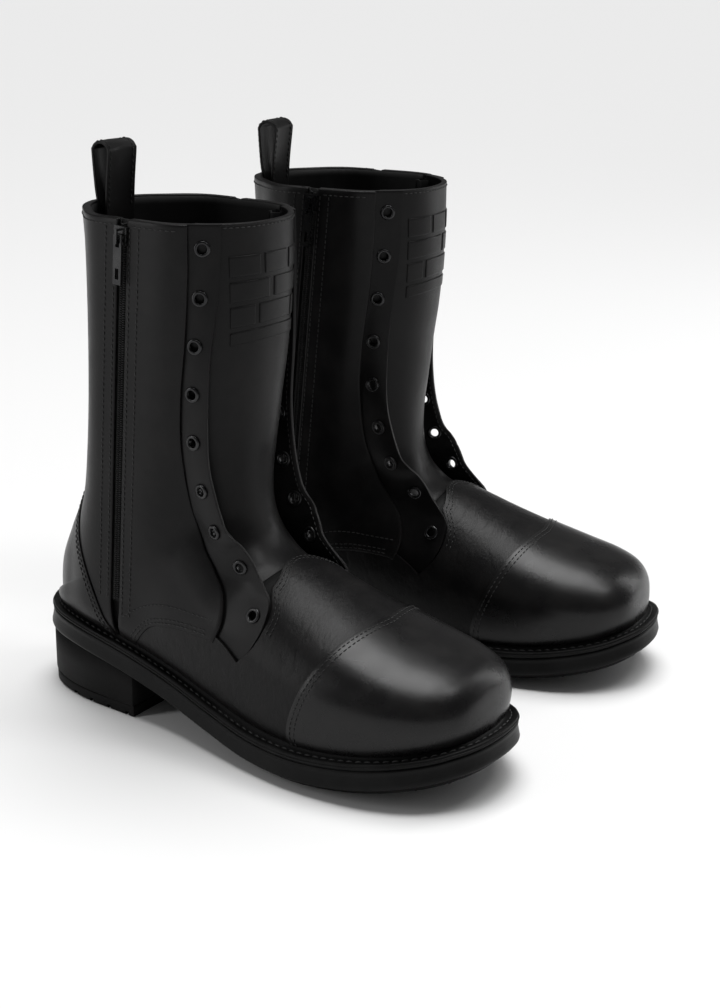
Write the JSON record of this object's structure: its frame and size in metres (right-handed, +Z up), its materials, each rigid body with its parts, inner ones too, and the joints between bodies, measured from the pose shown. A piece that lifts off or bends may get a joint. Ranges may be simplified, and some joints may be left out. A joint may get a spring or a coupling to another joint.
{
  "type": "pair of work boots",
  "caption": "Tall black leather boots with lace facings, side zips, capped toes, stitched welts and lugged rubber soles with stacked heels.",
  "frame": {"origin": "centre of the pair's bounding box, on the floor", "axes": "+Z up from the floor, toes towards -Y, the right boot on the -X side and the left boot on the +X side"},
  "size_m": [0.3104, 0.3328, 0.334],
  "materials": {
    "upper_leather": "smooth polished calf with a soft gloss",
    "tongue_leather": "softer calf, low gloss",
    "lining_leather": "matt lining leather",
    "strap_leather": "folded and stitched strap leather",
    "stiffener_board": "thermoplastic stiffener",
    "insole_board": "cellulose insole board",
    "black_metal": "black plated, satin",
    "zip_textile": "woven tape with a moulded coil",
    "welt_rubber": "moulded, satin edge",
    "sole_rubber": "matt moulded rubber",
    "spring_steel": "bare spring steel"
  },
  "bodies": {
    "right_boot": {"right_toe_cap": "upper_leather", "right_vamp": "upper_leather", "right_heel_counter": "upper_leather", "right_outer_quarter": "upper_leather", "right_inner_quarter": "upper_leather", "right_back_panel": "upper_leather", "right_outer_facing": "upper_leather", "right_inner_facing": "upper_leather", "right_outer_eyelets": "black_metal", "right_inner_eyelets": "black_metal", "right_tongue": "tongue_leather", "right_lining": "lining_leather", "right_toe_stiffener": "stiffener_board", "right_counter_stiffener": "stiffener_board", "right_outer_zip": "zip_textile", "right_inner_zip": "zip_textile", "right_pull_loop": "strap_leather", "right_insole": "insole_board", "right_sock_liner": "lining_leather", "right_welt": "welt_rubber", "right_outsole": "sole_rubber", "right_heel_block": "sole_rubber", "right_heel_lift": "sole_rubber", "right_tread": "sole_rubber", "right_shank": "spring_steel"},
    "right_outer_slider": {"right_outer_slider": "black_metal"},
    "right_outer_pull": {"right_outer_pull": "black_metal"},
    "right_inner_slider": {"right_inner_slider": "black_metal"},
    "right_inner_pull": {"right_inner_pull": "black_metal"},
    "left_boot": {"left_toe_cap": "upper_leather", "left_vamp": "upper_leather", "left_heel_counter": "upper_leather", "left_outer_quarter": "upper_leather", "left_inner_quarter": "upper_leather", "left_back_panel": "upper_leather", "left_outer_facing": "upper_leather", "left_inner_facing": "upper_leather", "left_outer_eyelets": "black_metal", "left_inner_eyelets": "black_metal", "left_tongue": "tongue_leather", "left_lining": "lining_leather", "left_toe_stiffener": "stiffener_board", "left_counter_stiffener": "stiffener_board", "left_outer_zip": "zip_textile", "left_inner_zip": "zip_textile", "left_pull_loop": "strap_leather", "left_insole": "insole_board", "left_sock_liner": "lining_leather", "left_welt": "welt_rubber", "left_outsole": "sole_rubber", "left_heel_block": "sole_rubber", "left_heel_lift": "sole_rubber", "left_tread": "sole_rubber", "left_shank": "spring_steel"},
    "left_outer_slider": {"left_outer_slider": "black_metal"},
    "left_outer_pull": {"left_outer_pull": "black_metal"},
    "left_inner_slider": {"left_inner_slider": "black_metal"},
    "left_inner_pull": {"left_inner_pull": "black_metal"}
  },
  "joints": [
    {"name": "left_boot_lift", "type": "slide", "parent": "right_boot", "child": "left_boot", "axis": [0, 0, 1], "range_m": [0, 0.4]},
    {"name": "right_outer_zip", "type": "slide", "parent": "right_boot", "child": "right_outer_slider", "axis": [0.0447, 0.0916, -0.9948], "range_m": [0, 0.205]},
    {"name": "right_outer_pull_hinge", "type": "hinge", "parent": "right_outer_slider", "child": "right_outer_pull", "pos_m": [-0.13503, 0.0719, 0.29125], "axis": [0.0833, 0.992, 0.0951], "range_deg": [0, 150]},
    {"name": "right_inner_zip", "type": "slide", "parent": "right_boot", "child": "right_inner_slider", "axis": [-0.032, 0.0983, -0.9946], "range_m": [0, 0.205]},
    {"name": "right_inner_pull_hinge", "type": "hinge", "parent": "right_inner_slider", "child": "right_inner_pull", "pos_m": [-0.02478, 0.06226, 0.29123], "axis": [-0.0906, -0.9913, -0.095], "range_deg": [0, 150]},
    {"name": "left_outer_zip", "type": "slide", "parent": "left_boot", "child": "left_outer_slider", "axis": [-0.0447, 0.0916, -0.9948], "range_m": [0, 0.205]},
    {"name": "left_outer_pull_hinge", "type": "hinge", "parent": "left_outer_slider", "child": "left_outer_pull", "pos_m": [0.13503, 0.0559, 0.29125], "axis": [0.0833, -0.992, -0.0951], "range_deg": [0, 150]},
    {"name": "left_inner_zip", "type": "slide", "parent": "left_boot", "child": "left_inner_slider", "axis": [0.032, 0.0983, -0.9946], "range_m": [0, 0.205]},
    {"name": "left_inner_pull_hinge", "type": "hinge", "parent": "left_inner_slider", "child": "left_inner_pull", "pos_m": [0.02478, 0.04626, 0.29123], "axis": [-0.0906, 0.9913, 0.095], "range_deg": [0, 150]}
  ]
}
